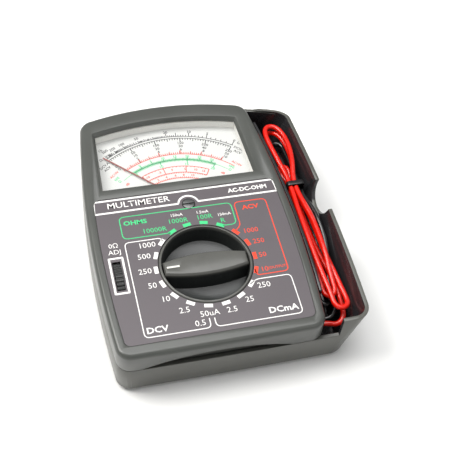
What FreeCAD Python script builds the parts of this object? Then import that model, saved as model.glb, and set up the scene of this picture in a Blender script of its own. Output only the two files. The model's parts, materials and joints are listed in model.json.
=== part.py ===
import FreeCAD, Part

import math
import os

import Sketcher
from FreeCAD import Placement, Rotation, Vector

# A pocket multimeter with a needle, lying face up in the tray that also stores its two leads.
# Millimetres, +Z out of the dial, +Y towards the window, origin under the middle of the tray.

doc = FreeCAD.newDocument("Multimeter")
sheet = doc.addObject("Spreadsheet::Sheet", "Sizes")


class Size:
    """A length with its value and the sheet formula that it comes from."""

    def __init__(self, value, text):
        self.value, self.text = value, text

    def join(self, other, value, sign, swap=False):
        text = other.text if isinstance(other, Size) else repr(float(other))
        first, second = (text, self.text) if swap else (self.text, text)
        return Size(value, f"({first} {sign} {second})")

    def __add__(self, other):
        return self.join(other, self.value + plain(other), "+")

    __radd__ = __add__

    def __sub__(self, other):
        return self.join(other, self.value - plain(other), "-")

    def __rsub__(self, other):
        return self.join(other, plain(other) - self.value, "-", swap=True)

    def __mul__(self, other):
        return self.join(other, self.value * plain(other), "*")

    __rmul__ = __mul__

    def __truediv__(self, other):
        return self.join(other, self.value / plain(other), "/")

    def __neg__(self):
        return Size(-self.value, f"(0 - {self.text})")


def plain(size):
    """The number behind a length."""
    return size.value if isinstance(size, Size) else float(size)


def bind(obj, name, size):
    """Sets a property to a number, or ties it to the sheet."""
    if isinstance(size, Size):
        obj.setExpression(name, size.text)
        return
    *path, last = name.split(".")
    if path:
        place = obj.Placement
        setattr(place.Base, last, float(size))
        obj.Placement = place
    else:
        setattr(obj, last, float(size))


def add_size(alias, value):
    """Writes one driving dimension into the sheet."""
    add_size.row += 1
    sheet.set(f"A{add_size.row}", alias.replace("_", " "))
    sheet.set(f"B{add_size.row}", str(value))
    sheet.setAlias(f"B{add_size.row}", alias)
    return Size(float(value), f"Sizes.{alias}")


add_size.row = 0

# ---------------------------------------------------------------- driving dimensions

face_z = add_size("face_height", 31.0)  # the meter's face above the table
meter_x = add_size("meter_centre", -9.75)  # the meter's centreline
half_width = add_size("meter_half_width", 50.6)  # at its widest
half_length = add_size("half_length", 74.0)
widest_y = add_size("widest_place", -18.0)
side_radius = add_size("side_radius", 565.0)
arch_radius = add_size("arch_radius", 156.0)
front_radius = add_size("front_radius", 3000.0)
wall = add_size("shell_wall", 2.0)
top_plate = add_size("top_plate", 2.2)
skirt_z = add_size("skirt_bottom", 19.0)
recess = add_size("label_recess", 0.8)
label_sheet = add_size("label_thickness", 0.6)
label_inset = add_size("label_inset", 4.6)
strip_top = add_size("label_top", 15.1)
label_front = add_size("label_front", -67.8)

tray_half = add_size("tray_half_width", 60.35)
tray_floor = add_size("tray_floor", 2.0)
tray_wall = add_size("tray_wall", 2.0)
low_rim = add_size("low_rim", 18.5)
side_slope = add_size("side_slope", 0.2924)  # how far the right wall leans per millimetre
right_radius = add_size("right_radius", 1000.0)
right_widest = add_size("right_widest_place", -35.0)
notch_radius = add_size("notch_radius", 9.6)
partition_top = add_size("partition_top", 27.5)

rear_inset = add_size("rear_inset", 2.6)
rear_wall = add_size("rear_wall", 1.6)
rear_bottom = add_size("rear_bottom", 2.4)
rear_top = add_size("rear_top", 24.0)

window_low = add_size("window_low", 21.6)
window_top = add_size("window_top", 63.6)
window_half_low = add_size("window_half_low", 39.2)
window_half_top = add_size("window_half_top", 37.6)
dial_z = add_size("dial_height", 22.4)

knob_x = add_size("knob_centre_x", -8.95)
knob_y = add_size("knob_centre_y", -30.1)
knob_radius = add_size("knob_radius", 22.3)
knob_gap = add_size("knob_gap", 0.25)
well_floor = add_size("well_floor", 21.0)
knob_bottom = add_size("knob_bottom", 19.4)
grip_half = add_size("grip_half_length", 20.3)

pivot_x = add_size("pivot_x", -9.5)
pivot_y = add_size("pivot_y", 13.9)
needle_length = add_size("needle_length", 49.3)
screw_y = add_size("zero_screw_y", 5.9)
crank = add_size("zero_screw_crank", 1.0)

wheel_x = add_size("wheel_x", -50.2)
wheel_y = add_size("wheel_y", -30.4)
wheel_z = add_size("wheel_z", 20.5)
wheel_radius = add_size("wheel_radius", 12.0)
wheel_thick = add_size("wheel_thickness", 3.4)

board_z = add_size("board_height", 13.0)
board_thick = add_size("board_thickness", 1.5)
run_gap = add_size("running_gap", 0.05)

lead = add_size("lead_diameter", 2.6)
probe_radius = add_size("probe_radius", 3.1)
probe_length = add_size("probe_handle", 58.0)

RANGES = 18
REST_ANGLE = 46.2  # the needle stands this far left of straight up
HANK_Z = {"black": (16.8, 4.2), "red": (21.2, 5.8)}  # underside and thickness

parts = []


def keep(obj, label):
    """Names a finished sub-part and puts it on the list to write."""
    obj.Label = label
    parts.append(obj)
    return obj


# ---------------------------------------------------------------- small makers


def put(obj, x=0, y=0, z=0):
    for axis, size in zip("xyz", (x, y, z)):
        bind(obj, f"Placement.Base.{axis}", size)
    return obj


def box(x, y, z, dx, dy, dz):
    """A block with its low corner at x, y, z."""
    obj = doc.addObject("Part::Box", "Block")
    for name, size in (("Length", dx), ("Width", dy), ("Height", dz)):
        bind(obj, name, size)
    return put(obj, x, y, z)


def rod(x, y, z, radius, height, axis="Z"):
    """A cylinder from x, y, z along an axis."""
    obj = doc.addObject("Part::Cylinder", "Rod")
    bind(obj, "Radius", radius)
    bind(obj, "Height", height)
    turn = {"Z": Rotation(), "X": Rotation(Vector(0, 1, 0), 90), "Y": Rotation(Vector(1, 0, 0), -90)}
    obj.Placement = Placement(Vector(), turn[axis])
    return put(obj, x, y, z)


def fuse(*shapes):
    obj = doc.addObject("Part::MultiFuse", "Union")
    obj.Shapes = list(shapes)
    return obj


def cut(base, *tools):
    obj = doc.addObject("Part::Cut", "Cut")
    obj.Base = base
    obj.Tool = tools[0] if len(tools) == 1 else fuse(*tools)
    return obj


def common(base, tool):
    obj = doc.addObject("Part::Common", "Common")
    obj.Base, obj.Tool = base, tool
    return obj


def group(*shapes):
    """Separate solids that are one kind of piece."""
    obj = doc.addObject("Part::Compound", "Set")
    obj.Links = list(shapes)
    return obj


def outline(edges, z=0, name="Outline"):
    """A closed sketch of lines and arcs at a height."""
    sketch = doc.addObject("Sketcher::SketchObject", name)
    sketch.addGeometry(edges, False)
    return put(sketch, 0, 0, z)


def grow(sketch, size, z):
    """The sketch's outline moved outwards by size."""
    obj = doc.addObject("Part::Offset2D", "Grown")
    obj.Source = sketch
    bind(obj, "Value", size)
    return lift(obj, z)


def lift(obj, z):
    bind(obj, "Placement.Base.z", z)
    return obj


def prism(section, height):
    """A section pulled up into a solid."""
    obj = doc.addObject("Part::Extrusion", "Prism")
    obj.Base = section
    obj.DirMode = "Custom"
    obj.Dir = Vector(0, 0, 1)
    obj.Solid = True
    bind(obj, "LengthFwd", height)
    return obj


def loft(*sections):
    obj = doc.addObject("Part::Loft", "Loft")
    obj.Sections = list(sections)
    obj.Solid = True
    obj.Ruled = True
    return obj


def body_sketch(label, plane):
    """A new body with an empty sketch on one of its own planes."""
    body = doc.addObject("PartDesign::Body", label.title().replace("_", ""))
    sketch = body.newObject("Sketcher::SketchObject", "Profile")
    features = body.Origin.OriginFeatures
    sketch.AttachmentSupport = [(next(f for f in features if f.Role == plane), "")]
    sketch.MapMode = "FlatFace"
    return body, sketch


def draw(sketch, points):
    """A closed polygon, each corner tied to its place."""
    values = [Vector(plain(a), plain(b), 0) for a, b in points]
    for i in range(len(points)):
        sketch.addGeometry(Part.LineSegment(values[i], values[(i + 1) % len(points)]), False)
    for i in range(len(points)):
        follower = (i + 1) % len(points)
        sketch.addConstraint(Sketcher.Constraint("Coincident", i, 2, follower, 1))
    for i, corner in enumerate(points):
        for kind, size, axis in (("DistanceX", corner[0], -2), ("DistanceY", corner[1], -1)):
            if plain(size) == 0:
                sketch.addConstraint(Sketcher.Constraint("PointOnObject", i, 1, axis))
                continue
            number = sketch.addConstraint(Sketcher.Constraint(kind, -1, 1, i, 1, plain(size)))
            if isinstance(size, Size):
                sketch.setExpression(f"Constraints[{number}]", size.text)


def turned(label, profile, x=0, y=0, z=0, axis="Z"):
    """A lathe-turned piece: profile is (radius, height) corners round its middle line."""
    body, sketch = body_sketch(label, "XZ_Plane")
    draw(sketch, profile)
    spin = body.newObject("PartDesign::Revolution", "Turning")
    spin.Profile = sketch
    spin.ReferenceAxis = (sketch, ["V_Axis"])
    spin.Angle = 360
    turn = {"Z": Rotation(), "X": Rotation(Vector(0, 1, 0), 90), "Y": Rotation(Vector(1, 0, 0), -90)}
    body.Placement = Placement(Vector(), turn[axis])
    return put(body, x, y, z)


def plate(label, points, thickness, x=0, y=0, z=0, holes=()):
    """A flat piece cut from sheet, with round holes at (x, y, radius)."""
    body, sketch = body_sketch(label, "XY_Plane")
    draw(sketch, points)
    for hole_x, hole_y, radius in holes:
        middle = Vector(plain(hole_x), plain(hole_y), 0)
        circle = sketch.addGeometry(Part.Circle(middle, Vector(0, 0, 1), plain(radius)), False)
        number = sketch.addConstraint(Sketcher.Constraint("Radius", circle, plain(radius)))
        if isinstance(radius, Size):
            sketch.setExpression(f"Constraints[{number}]", radius.text)
    pad = body.newObject("PartDesign::Pad", "Pad")
    pad.Profile = sketch
    bind(pad, "Length", thickness)
    return put(body, x, y, z)


def corner_arcs(sides, radii):
    """A closed outline of four big arcs (centre, radius) joined by round corners, anticlockwise."""
    corners = []
    for i, radius in enumerate(radii):
        (c1, r1), (c2, r2) = sides[i], sides[(i + 1) % 4]
        d1, d2, gap = r1 - radius, r2 - radius, (c2 - c1).Length
        along = (d1 * d1 - d2 * d2 + gap * gap) / (2 * gap)
        across = math.sqrt(d1 * d1 - along * along)
        line = (c2 - c1) / gap
        normal = Vector(-line.y, line.x, 0)
        both = [c1 + line * along + normal * across * side for side in (1, -1)]
        centre = max(both, key=lambda p: p * CORNER_WAYS[i])
        corners.append((centre, c1 + (centre - c1) * (r1 / d1), c2 + (centre - c2) * (r2 / d2)))
    edges = []
    for i, radius in enumerate(radii):
        centre, start, end = corners[i]
        before = corners[i - 1][2]
        c1, r1 = sides[i]
        middle = c1 + ((before + start) / 2 - c1).normalize() * r1
        edges.append(Part.Arc(before, middle, start))
        middle = centre + ((start + end) / 2 - centre).normalize() * radius
        edges.append(Part.Arc(start, middle, end))
    return edges


CORNER_WAYS = [Vector(1, 1, 0), Vector(-1, 1, 0), Vector(-1, -1, 0), Vector(1, -1, 0)]


def barrel(right_x, right_y, right_r, top_y, top_r, left_x, front_y, radii):
    """The plan of a shell: right, top, left and front arcs, from their outermost points."""
    middle = plain(meter_x)
    sides = [
        (Vector(right_x - right_r, right_y, 0), right_r),
        (Vector(middle, top_y - top_r, 0), top_r),
        (Vector(left_x + plain(side_radius), plain(widest_y), 0), plain(side_radius)),
        (Vector(middle, front_y + plain(front_radius), 0), plain(front_radius)),
    ]
    return corner_arcs(sides, radii)


# ---------------------------------------------------------------- the two plans

END_SLOPE = 0.01  # how far the two end walls lean per millimetre

left_x = plain(meter_x - half_width)
meter_plan = outline(
    barrel(
        plain(meter_x + half_width), plain(widest_y), plain(side_radius),
        plain(half_length), plain(arch_radius), left_x, -plain(half_length), (8.0, 8.0, 7.0, 7.0),
    ),
    0, "MeterPlan",
)


def tray_plan(z, inset, name):
    """The tray's plan at a height: its right wall leans in towards the floor."""
    right = plain(tray_half) - (plain(face_z) - z) * plain(side_slope) - inset
    slope_in = END_SLOPE * (plain(face_z) - z)
    reach = plain(half_length) - inset - slope_in
    corner = [r - inset for r in (10.0, 8.0, 7.0, 7.5)]
    edges = barrel(
        right, plain(right_widest), plain(right_radius), reach, plain(arch_radius),
        left_x + inset, -reach, corner,
    )
    return outline(edges, z, name)


# ---------------------------------------------------------------- tray

FOOT = 2.5
chamfer = loft(tray_plan(0.0, 1.6, "FootPlan"), tray_plan(FOOT, 0.0, "KneePlan"))
tub = loft(tray_plan(FOOT, 0.0, "KneeAgain"), tray_plan(plain(face_z), 0.0, "RimPlan"))
hollow = loft(
    tray_plan(plain(tray_floor), plain(tray_wall), "WellPlan"),
    tray_plan(plain(face_z) + 1, plain(tray_wall), "WellRim"),
)
above_meter = prism(grow(meter_plan, 0.4, low_rim), 15)
lead_notch = box(30, -half_length - 2, low_rim, 15.75, 6, 15)
thumb_notch = rod(45, 0.25, face_z, notch_radius, 20, "X")
behind_meter = box(-80, 58, low_rim, 114.5, 30, 15)  # the rim stays low up to the meter's corner


def rim_cut(low_corner, high_corner, z, name):
    """A rectangle in plan, from one corner to the other, for the slope that lowers the rim."""
    (x1, y1), (x2, y2) = low_corner, high_corner
    spots = [Vector(x1, y1, 0), Vector(x2, y1, 0), Vector(x2, y2, 0), Vector(x1, y2, 0)]
    return outline([Part.LineSegment(a, b) for a, b in zip(spots, spots[1:] + spots[:1])], z, name)


rim_drop, rim_dip = 2.2, 1.2
back_slope = loft(
    rim_cut((30, 66), (64, 90), plain(face_z) - rim_drop, "SlopeLow"),
    rim_cut((30, 46), (64, 90), plain(face_z) + 2, "SlopeHigh"),
)
inner_slope = loft(
    rim_cut((30, 60), (36, 90), plain(face_z) - rim_drop - rim_dip, "DipLow"),
    rim_cut((30, 60), (56, 90), plain(face_z) - rim_drop + 0.2, "DipHigh"),
)
shell = cut(
    fuse(chamfer, tub), hollow, above_meter, lead_notch, thumb_notch, behind_meter,
    back_slope, inner_slope,
)
divider = common(
    cut(prism(grow(meter_plan, 2.3, 1.5), partition_top - 1.5),
        prism(grow(meter_plan, 0.9, 1.0), 30)),
    box(25, -53, 0, 30, 110, 40),
)
rests = [box(x, -50, 1.5, 3, 100, rear_bottom - 1.5) for x in (-48, 24)]
keep(fuse(shell, divider, *rests), "tray_shell")

# ---------------------------------------------------------------- meter: front shell

KNEE = 2.4
full = prism(grow(meter_plan, 0.001, skirt_z), face_z - skirt_z)
soft_edge = doc.addObject("Part::Fillet", "SoftEdge")
soft_edge.Base = full
doc.recompute()
soft_edge.Edges = [
    (i + 1, KNEE, KNEE)
    for i, edge in enumerate(full.Shape.Edges)
    if min(v.Z for v in edge.Vertexes) > plain(face_z) - 0.01
]
inside = prism(grow(meter_plan, -wall, skirt_z - 1), face_z - top_plate - skirt_z + 1)


def window_edges(extra):
    """The window's plan, a trapezium with an arched top, moved outwards by extra."""
    x, low = plain(meter_x) - 0.8, plain(window_low) - extra
    wide, narrow = plain(window_half_low) + extra, plain(window_half_top) + extra
    top = plain(window_top) + extra
    shoulder = top - 5.0
    a, b = Vector(x - wide, low, 0), Vector(x + wide, low, 0)
    c, d = Vector(x + narrow, shoulder, 0), Vector(x - narrow, shoulder, 0)
    arch = Part.Arc(c, Vector(x, top, 0), d)
    return [Part.LineSegment(a, b), Part.LineSegment(b, c), arch, Part.LineSegment(d, a)]


plate_z = face_z - top_plate
window_bevel = loft(
    outline(window_edges(-0.8), plain(plate_z) - 0.1, "WindowLow"),
    outline(window_edges(0.9), plain(face_z) + 0.1, "WindowHigh"),
)


def label_edges(extra):
    """The label's plan: bowed sides like the shell's, square ends."""
    inset = plain(label_inset) - extra
    low, high = plain(label_front) - extra, plain(strip_top) + extra
    radius = plain(side_radius) - inset
    left_c = Vector(left_x + plain(side_radius), plain(widest_y), 0)
    right_c = Vector(plain(meter_x + half_width - side_radius), plain(widest_y), 0)
    corner = 3.0 + extra

    def on(side, y):
        middle = right_c if side > 0 else left_c
        return Vector(middle.x + side * math.sqrt(radius**2 - (y - middle.y) ** 2), y, 0)

    edges, ends = [], []
    for side, y, way in ((1, low, 1), (1, high, -1), (-1, high, -1), (-1, low, 1)):
        upright = on(side, y + way * corner)
        level = Vector(upright.x - side * corner, y, 0)
        middle = Vector(level.x, upright.y, 0) + Vector(side, -way, 0) * (corner / math.sqrt(2))
        ends.append((upright, middle, level))
    for i, side in ((0, 1), (2, -1)):
        (u0, m0, l0), (u1, m1, l1) = ends[i], ends[i + 1]
        edges += [Part.Arc(l0, m0, u0), Part.Arc(u0, on(side, plain(widest_y)), u1), Part.Arc(u1, m1, l1)]
        edges.append(Part.LineSegment(l1, ends[(i + 2) % 4][2]))
    return edges


label_bed = prism(outline(label_edges(0.15), face_z - recess, "LabelBed"), 3)
slot_low = box(wheel_x - 2.2, wheel_y - 9.4, 20, 4.4, 18.8, 20)
knob_hole = rod(knob_x, knob_y, 10, knob_radius + knob_gap, 30)
zero_hole = rod(pivot_x, screw_y, 20, 3.1, 20)
FINGER_R = 98.9
finger_arch = rod(-12.0, -90, skirt_z + 6.4 - FINGER_R, FINGER_R, 20, "Y")
collar = cut(
    rod(knob_x, knob_y, face_z - 8, knob_radius + knob_gap + 1.4, 6.5),
    rod(knob_x, knob_y, 10, knob_radius + knob_gap, 30),
)
BOSSES = [(-51.7, -65.6), (32.2, -65.6), (-46.4, 62.9), (26.9, 62.9)]
boss_posts = [rod(x, y, 6.7, 2.0, face_z - top_plate - 6.2) for x, y in BOSSES]
boss_holes = [rod(x, y, 5, 1.2, 12) for x, y in BOSSES]
front = fuse(
    cut(soft_edge, inside, window_bevel, label_bed, slot_low, knob_hole, zero_hole, finger_arch),
    collar, *boss_posts,
)
keep(cut(front, *boss_holes), "front_shell")

# ---------------------------------------------------------------- meter: face pieces

label_z = face_z - recess
keep(
    cut(
        prism(outline(label_edges(0), label_z, "LabelPlan"), label_sheet),
        rod(knob_x, knob_y, 20, knob_radius + knob_gap, 20),
        rod(pivot_x, screw_y, 20, 3.3, 20),
        box(wheel_x - 2.0, wheel_y - 8.1, 20, 4.0, 16.2, 20),
    ),
    "label_plate",
)
LENS = 1.2
lens_z = plate_z - LENS - 0.05
keep(prism(outline(window_edges(1.2), lens_z, "LensPlan"), LENS), "window_lens")
cover_z = dial_z + 0.65
keep(
    cut(
        prism(outline(window_edges(1.2), cover_z, "CoverPlan"), lens_z - 0.05 - cover_z),
        prism(outline(window_edges(0.0), cover_z - 1, "CoverWell"), 12),
        box(-30, 15, 10, 45, 7.4, 16.4),
    ),
    "movement_cover",
)
keep(prism(outline(window_edges(1.2), dial_z, "DialPlan"), 0.6), "scale_plate")

# ---------------------------------------------------------------- meter: movement

YOKE = (8.4, 10.5)
CORE = 6.0
keep(
    cut(rod(pivot_x, pivot_y, 9, YOKE[1], 11), rod(pivot_x, pivot_y, 8, YOKE[0], 13)),
    "magnet_yoke",
)
keep(cut(rod(pivot_x, pivot_y, 9.4, CORE, 10.2), rod(pivot_x, pivot_y, 8, 1.2, 13)), "core_magnet")
gap_ring = cut(rod(pivot_x, pivot_y, 12, YOKE[0], 5), rod(pivot_x, pivot_y, 11, CORE, 7))
keep(common(gap_ring, box(pivot_x - 2.6, pivot_y - 12, 11, 5.2, 24, 8)), "core_spacers")
for label, low, leg in (("upper_bridge", 25.0, 20.0), ("lower_bridge", 4.6, 6.2)):
    legs = [
        box(pivot_x + x, pivot_y - 1.6, leg, 1.9, 3.2, 5.2 if label == "upper_bridge" else 2.8)
        for x in (-10.4, 8.5)
    ]
    bar = box(pivot_x - 10.4, pivot_y - 1.6, low, 20.8, 3.2, 1.6)
    keep(cut(fuse(bar, *legs), rod(pivot_x, pivot_y, low - 1, 1.55, 4)), label)
jewel = [(0, 0), (1.5, 0), (1.5, 2.0), (0.5, 2.0), (0, 1.2)]
screws = [turned("jewel_low", jewel, pivot_x, pivot_y, 4.4)]
screws.append(
    turned("jewel_high", [(0, 0.8), (0.5, 0), (1.5, 0), (1.5, 3.4), (0, 3.4)], pivot_x, pivot_y, 24.8)
)
keep(group(*screws), "jewel_screws")

# moving system: it turns as one about the pivot
staff = turned(
    "staff_turned", [(0, 0), (0.4, 1.2), (0.4, 18.4), (0, 19.6)], pivot_x, pivot_y, 5.7
)
keep(staff, "pivot_staff")
COIL_OUT, COIL_IN = (7.7, 1.2), (6.6, 1.5)


def at_pivot(shape, angle):
    """Turns a finished shape about the pivot by an angle in degrees."""
    middle = Vector(plain(pivot_x), plain(pivot_y), 0)
    turn = Rotation(Vector(0, 0, 1), angle)
    place = Placement(middle, turn) * Placement(-middle, Rotation())
    shape.Placement = place * shape.Placement
    return shape


coil_block = box(plain(pivot_x) - COIL_OUT[0], plain(pivot_y) - COIL_OUT[1], 7.2, 15.4, 2.4, 14.6)
coil_space = box(plain(pivot_x) - COIL_IN[0], plain(pivot_y) - COIL_IN[1], 8.2, 13.2, 3.0, 12.6)
coil_hole = rod(pivot_x, pivot_y, 5, 0.45, 20)
keep(at_pivot(cut(coil_block, coil_space, coil_hole), REST_ANGLE), "moving_coil")
NEEDLE_Z = 23.9
needle_hub = rod(pivot_x, pivot_y, NEEDLE_Z - 0.3, 1.5, 0.9)
blade = box(plain(pivot_x) - 0.35, pivot_y + 1.0, NEEDLE_Z, 0.7, needle_length - 1.0, 0.3)
tail = box(plain(pivot_x) - 0.5, pivot_y - 7.0, NEEDLE_Z, 1.0, 6.5, 0.3)
cross = box(plain(pivot_x) - 5.5, plain(pivot_y) - 0.4, NEEDLE_Z - 0.2, 11.0, 0.8, 0.3)
needle = cut(fuse(needle_hub, blade, tail, cross), rod(pivot_x, pivot_y, 20, 0.42, 10))
keep(at_pivot(needle, REST_ANGLE), "needle")
weights = [
    box(plain(pivot_x) + x - 0.8, plain(pivot_y) + y - 0.8, NEEDLE_Z - 1.1, 1.6, 1.6, 0.85)
    for x, y in ((4.6, 0), (-4.6, 0))
]
keep(at_pivot(group(*weights), REST_ANGLE), "balance_weights")


def hairspring():
    """A flat spiral of half rings, each wider than the last."""
    ribbon, step, turns = 0.16, 0.22, 10
    middle = Vector(plain(pivot_x), plain(pivot_y), 22.3)
    shape = None
    for i in range(turns):
        radius = 1.2 + step * i
        centre = middle + Vector((step / 2) * (1 if i % 2 else -1), 0, 0)
        side = 1 if i % 2 else -1
        ring = [radius + side_step for side_step in (0, ribbon)]
        arcs = [
            Part.Arc(
                centre + Vector(-r, 0, 0), centre + Vector(0, side * r, 0), centre + Vector(r, 0, 0)
            ).toShape()
            for r in ring
        ]
        ends = [
            Part.makeLine(centre + Vector(s * ring[0], 0, 0), centre + Vector(s * ring[1], 0, 0))
            for s in (-1, 1)
        ]
        wire = Part.Wire(Part.__sortEdges__(arcs + ends))
        half = Part.Face(wire).extrude(Vector(0, 0, 0.5))
        shape = half if shape is None else shape.fuse(half)
    return shape.removeSplitter()


spring = doc.addObject("Part::Feature", "Spiral")
spring.Shape = hairspring()
keep(spring, "hairspring")

# zero adjuster: the screw's crank pin swings the forked regulator arm
arm_z = 27.1
pin_y = screw_y - crank
zero_head = cut(
    rod(pivot_x, screw_y, face_z - 1.6, 2.9, 1.6), box(pivot_x - 4, screw_y - 0.45, face_z - 0.9, 8, 0.9, 2)
)
keep(fuse(zero_head, rod(pivot_x, pin_y, arm_z - 0.4, 0.5, 3.0)), "zero_screw")
arm_ring = rod(pivot_x, pivot_y, arm_z, 3.0, 0.8)
arm_bar = box(pivot_x - 1.8, pin_y - 2.4, arm_z, 3.6, pivot_y - pin_y, 0.8)
keep(
    cut(
        fuse(arm_ring, arm_bar),
        rod(pivot_x, pivot_y, arm_z - 1, 1.5 + run_gap, 3),
        box(pivot_x - 0.85, pin_y - 4, arm_z - 1, 1.7, 6.4, 3),
    ),
    "zero_arm",
)

# ---------------------------------------------------------------- range switch

CUP = 1.6
cup = turned(
    "cup_turned",
    [
        (0, 0), (knob_radius, 0), (knob_radius, face_z - knob_bottom - 0.5),
        (knob_radius - 0.5, face_z - knob_bottom + 0.1),
        (knob_radius - CUP + 0.3, face_z - knob_bottom + 0.1),
        (knob_radius - CUP - 0.6, well_floor - knob_bottom), (0, well_floor - knob_bottom),
    ],
    knob_x, knob_y, knob_bottom,
)


def grip_plan(length, end, middle, z, name):
    """The finger bar seen from above: a lens with cut ends."""
    x, y = plain(knob_x), plain(knob_y)
    a, b = Vector(x - length, y - end, 0), Vector(x + length, y - end, 0)
    c, d = Vector(x + length, y + end, 0), Vector(x - length, y + end, 0)
    return outline(
        [
            Part.Arc(a, Vector(x, y - middle, 0), b), Part.LineSegment(b, c),
            Part.Arc(c, Vector(x, y + middle, 0), d), Part.LineSegment(d, a),
        ],
        z, name,
    )


reach = plain(grip_half)
grip_top = plain(face_z) + 0.4
grip_solid = loft(
    grip_plan(reach, 4.2, 7.0, plain(well_floor) - 0.4, "GripFoot"),
    grip_plan(reach - 0.2, 3.6, 6.2, grip_top - 1.0, "GripShoulder"),
    grip_plan(reach - 0.9, 2.9, 5.3, grip_top, "GripTop"),
)
inlay = box(knob_x - reach + 1.6, knob_y - 0.45, grip_top - 0.5, 6.0, 0.9, 1)
keep(cut(fuse(cup, grip_solid), inlay), "range_knob")
keep(box(knob_x - reach + 1.6, knob_y - 0.45, grip_top - 0.5, 6.0, 0.9, 0.52), "knob_pointer")
keep(
    turned(
        "shaft_turned",
        [(0, 0), (3.9, 0), (3.9, 1.0), (3.2, 1.0), (3.2, 1.9), (3.9, 1.9), (3.9, 8.4), (0, 8.4)],
        knob_x, knob_y, 11.0,
    ),
    "selector_shaft",
)
CARRIER_R, CARRIER_Z = 17.0, (15.9, 3.4)
BALL = 1.2
BALL_ANGLES = (20, 200)
ball_bores = []
balls = []
springs = []
for angle in BALL_ANGLES:
    turn = Rotation(Vector(0, 0, 1), angle) * Rotation(Vector(0, 1, 0), 90)
    for radius, start, length, store in ((BALL + 0.1, 9.0, 9.0, ball_bores), (0.9, 9.6, 5.6, springs)):
        piece = doc.addObject("Part::Cylinder", "Radial")
        piece.Radius, piece.Height = radius, length
        way = Vector(math.cos(math.radians(angle)), math.sin(math.radians(angle)), 0)
        foot = Vector(plain(knob_x), plain(knob_y), 17.6) + way * start
        piece.Placement = Placement(foot, turn)
        if store is springs:
            bore = doc.addObject("Part::Cylinder", "Coilspace")
            bore.Radius, bore.Height = radius - 0.3, length
            bore.Placement = piece.Placement
            piece = cut(piece, bore)
        store.append(piece)
    ball = doc.addObject("Part::Sphere", "Ball")
    ball.Radius = BALL
    way = Vector(math.cos(math.radians(angle)), math.sin(math.radians(angle)), 0)
    ball.Placement.Base = Vector(plain(knob_x), plain(knob_y), 17.6) + way * (18.0 - BALL - 0.05)
    balls.append(ball)
carrier_disc = cut(
    rod(knob_x, knob_y, CARRIER_Z[0], CARRIER_R, CARRIER_Z[1]),
    rod(knob_x, knob_y, 10, 3.95, 20), *ball_bores,
)
keep(carrier_disc, "wiper_carrier")
keep(group(*balls), "detent_balls")
keep(group(*springs), "detent_springs")
wipers = []
for angle in (0, 120, 240):
    arm = box(plain(knob_x) + 6, plain(knob_y) - 1.1, 15.6, 9, 2.2, 0.25)
    tip = box(plain(knob_x) + 13.4, plain(knob_y) - 1.1, 14.75, 1.6, 2.2, 0.9)
    finger = fuse(arm, tip)
    middle = Vector(plain(knob_x), plain(knob_y), 0)
    finger.Placement = Placement(middle, Rotation(Vector(0, 0, 1), angle)) * Placement(-middle, Rotation())
    wipers.append(finger)
keep(group(*wipers), "wipers")
keep(
    cut(
        rod(knob_x, knob_y, 12.05, 5.6, 0.75),
        rod(knob_x, knob_y, 12, 3.25, 3),
        box(knob_x, knob_y - 2.0, 12, 8, 4, 3),
    ),
    "shaft_clip",
)
ring_body, ring_sketch = body_sketch("detent_ring", "XY_Plane")
for radius in (18.0, 20.4):
    ring_sketch.addGeometry(Part.Circle(Vector(), Vector(0, 0, 1), radius), False)
ring_pad = ring_body.newObject("PartDesign::Pad", "RingPad")
ring_pad.Profile = ring_sketch
bind(ring_pad, "Length", 4.5)
tooth = ring_body.newObject("Sketcher::SketchObject", "Tooth")
ring_planes = ring_body.Origin.OriginFeatures
tooth.AttachmentSupport = [(next(f for f in ring_planes if f.Role == "XY_Plane"), "")]
tooth.MapMode = "FlatFace"
tooth.addGeometry(Part.Circle(Vector(17.75, 0, 0), Vector(0, 0, 1), 1.0), False)
scallop = ring_body.newObject("PartDesign::Pocket", "Scallop")
scallop.Profile = tooth
scallop.Reversed = True
scallop.Length = 4.5
doc.recompute()
scallops = ring_body.newObject("PartDesign::PolarPattern", "Scallops")
scallops.Originals = [scallop]
scallops.Axis = (tooth, ["N_Axis"])
scallops.Angle = 360
scallops.Occurrences = RANGES
ring_body.Tip = scallops
keep(put(ring_body, knob_x, knob_y, board_z + board_thick), "detent_ring")

# ---------------------------------------------------------------- circuit board and what is on it

BOARD = [(-54, -61.5), (33, -61.5), (33, -2.0), (-54, -2.0)]
board_blank = plate("board_blank", BOARD, board_thick, 0, 0, board_z)
keep(
    cut(
        board_blank,
        rod(knob_x, knob_y, 10, 3.95, 10),
        box(wheel_x - 2.6, wheel_y - 11.4, 10, 5.2, 22.8, 10),
    ),
    "circuit_board",
)
board_top = board_z + board_thick
tracks = []
for i in range(RANGES):
    pad_block = box(plain(knob_x) + 12.8, plain(knob_y) - 1.6, board_top, 3.6, 3.2, 0.12)
    middle = Vector(plain(knob_x), plain(knob_y), 0)
    turn = Rotation(Vector(0, 0, 1), i * 360 / RANGES)
    pad_block.Placement = Placement(middle, turn) * Placement(-middle, Rotation()) * Placement(
        Vector(plain(knob_x) + 12.8, plain(knob_y) - 1.6, plain(board_top)), Rotation()
    )
    tracks.append(pad_block)
keep(group(*tracks), "contact_tracks")

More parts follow.
